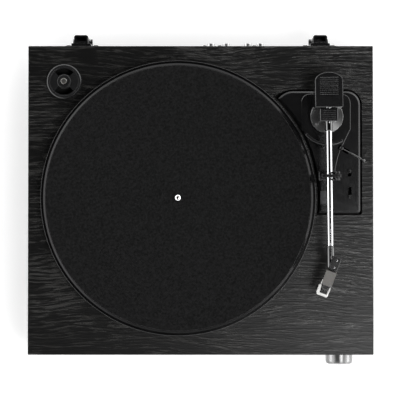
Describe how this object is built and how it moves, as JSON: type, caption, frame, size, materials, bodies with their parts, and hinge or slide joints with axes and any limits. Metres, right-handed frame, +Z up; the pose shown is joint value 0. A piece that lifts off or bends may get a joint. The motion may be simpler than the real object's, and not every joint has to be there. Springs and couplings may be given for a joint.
{
  "type": "turntable record player",
  "caption": "Belt-drive record player on a black ash plinth, with a felt-covered platter, straight tonearm on a pivot, cue lever, slide switches, front knob and lid hinges.",
  "frame": {"origin": "centre of the footprint, on the surface that the feet stand on", "axes": "+X to the right along the plinth's long side, +Y to the rear edge with the lid hinges, +Z up"},
  "size_m": [0.38, 0.3646, 0.119],
  "materials": {
    "ash_veneer": "black ash veneer, open grain, satin",
    "black_moulding": "fine moulded texture, satin",
    "black_paint": "satin black paint on die-cast metal",
    "felt": "pressed black felt",
    "chrome": "polished",
    "spun_aluminium": "spun, fine turning marks",
    "steel": "plain",
    "brass": "turned",
    "grey_metal": "grey metallic paint",
    "white_moulding": "milky white, satin",
    "rubber": "matte",
    "circuit_board": "green solder mask"
  },
  "bodies": {
    "root": {"top_board": "ash_veneer", "front_board": "ash_veneer", "rear_board": "ash_veneer", "left_board": "ash_veneer", "right_board": "ash_veneer", "bottom_cover": "black_paint", "motor_bracket": "black_paint", "jack_plate": "black_paint", "foot_front_left": "rubber", "foot_front_right": "rubber", "foot_rear_left": "rubber", "foot_rear_right": "rubber", "drive_belt": "rubber", "tonearm_plate": "black_moulding", "arm_column": "black_moulding", "arm_rest": "black_moulding", "speed_switch": "black_moulding", "size_switch": "black_moulding", "hinge_base_left": "black_moulding", "hinge_base_right": "black_moulding", "power_inlet": "black_moulding", "bearing_housing": "brass", "motor": "steel", "clip_pin": "steel", "potentiometer": "steel", "hinge_pin_left": "steel", "hinge_pin_right": "steel", "adapter_peg": "grey_metal", "turret_disc": "spun_aluminium", "phono_socket_left_outer": "spun_aluminium", "phono_socket_left_inner": "spun_aluminium", "phono_socket_right_inner": "spun_aluminium", "phono_socket_right_outer": "spun_aluminium", "circuit_board": "circuit_board"},
    "platter_assembly": {"platter": "black_paint", "slipmat": "felt", "spindle": "chrome"},
    "motor_pulley": {"motor_pulley": "brass"},
    "adapter_45": {"adapter_45": "black_moulding"},
    "arm_yoke": {"pivot_yoke": "black_moulding"},
    "tonearm": {"tilt_axle": "steel", "counterweight": "steel", "pivot_block": "black_moulding", "counterweight_housing": "black_moulding", "headshell_block": "black_moulding", "cartridge": "black_moulding", "stylus": "black_moulding", "arm_tube": "chrome", "front_collar": "chrome", "finger_lift": "chrome", "headshell": "grey_metal"},
    "stylus_guard": {"stylus_guard": "white_moulding"},
    "rest_clip": {"rest_clip": "black_moulding"},
    "cue_platform": {"cue_platform": "black_moulding"},
    "cue_lever": {"cue_lever": "chrome"},
    "speed_slider": {"speed_slider": "black_moulding"},
    "size_slider": {"size_slider": "black_moulding"},
    "volume_knob": {"volume_knob": "spun_aluminium"},
    "hinge_socket_left": {"hinge_socket_left": "black_moulding"},
    "hinge_socket_right": {"hinge_socket_right": "black_moulding"}
  },
  "joints": [
    {"name": "platter_spin", "type": "hinge", "parent": "root", "child": "platter_assembly", "pos_m": [-0.0245, 0.002, 0.088], "axis": [0, 0, 1], "continuous": true},
    {"name": "pulley_spin", "type": "hinge", "parent": "root", "child": "motor_pulley", "pos_m": [-0.0835, 0.10419, 0.082], "axis": [0, 0, 1], "continuous": true},
    {"name": "adapter_lift", "type": "slide", "parent": "root", "child": "adapter_45", "axis": [0, 0, 1], "range_m": [0, 0.03]},
    {"name": "arm_swing", "type": "hinge", "parent": "root", "child": "arm_yoke", "pos_m": [0.1378, 0.091, 0.1034], "axis": [0, 0, -1], "range_deg": [0, 45]},
    {"name": "arm_tilt", "type": "hinge", "parent": "arm_yoke", "child": "tonearm", "pos_m": [0.1378, 0.091, 0.1034], "axis": [-0.9999, -0.0113, 0], "range_deg": [0, 4]},
    {"name": "cue_lift", "type": "slide", "parent": "root", "child": "cue_platform", "axis": [0, 0, 1], "range_m": [0, 0.0022]},
    {"name": "cue_lever_turn", "type": "hinge", "parent": "root", "child": "cue_lever", "pos_m": [0.155, 0.057, 0.0762], "axis": [-0.5, -0.866, 0], "range_deg": [0, 55]},
    {"name": "guard_slide", "type": "slide", "parent": "tonearm", "child": "stylus_guard", "axis": [-0.3551, -0.9348, 0], "range_m": [0, 0.02]},
    {"name": "clip_turn", "type": "hinge", "parent": "root", "child": "rest_clip", "pos_m": [0.1468, 0.0252, 0.1142], "axis": [0, 1, 0], "range_deg": [0, 100]},
    {"name": "speed_slide", "type": "slide", "parent": "root", "child": "speed_slider", "axis": [0, -1, 0], "range_m": [0, 0.0034]},
    {"name": "size_slide", "type": "slide", "parent": "root", "child": "size_slider", "axis": [0, 1, 0], "range_m": [0, 0.0084]},
    {"name": "knob_turn", "type": "hinge", "parent": "root", "child": "volume_knob", "pos_m": [0.155, -0.176, 0.042], "axis": [0, 1, 0], "range_deg": [0, 300]},
    {"name": "lid_hinge_left", "type": "hinge", "parent": "root", "child": "hinge_socket_left", "pos_m": [-0.132, 0.1772, 0.046], "axis": [-1, 0, 0], "range_deg": [0, 70]},
    {"name": "lid_hinge_right", "type": "hinge", "parent": "root", "child": "hinge_socket_right", "pos_m": [0.132, 0.1772, 0.046], "axis": [-1, 0, 0], "range_deg": [0, 70]}
  ],
  "couplings": [
    {"joint": "pulley_spin", "follows": "platter_spin", "ratio": 15},
    {"joint": "cue_lift", "follows": "arm_tilt", "m_per_rad": 0.031},
    {"joint": "cue_lever_turn", "follows": "arm_tilt", "ratio": 13.75}
  ]
}
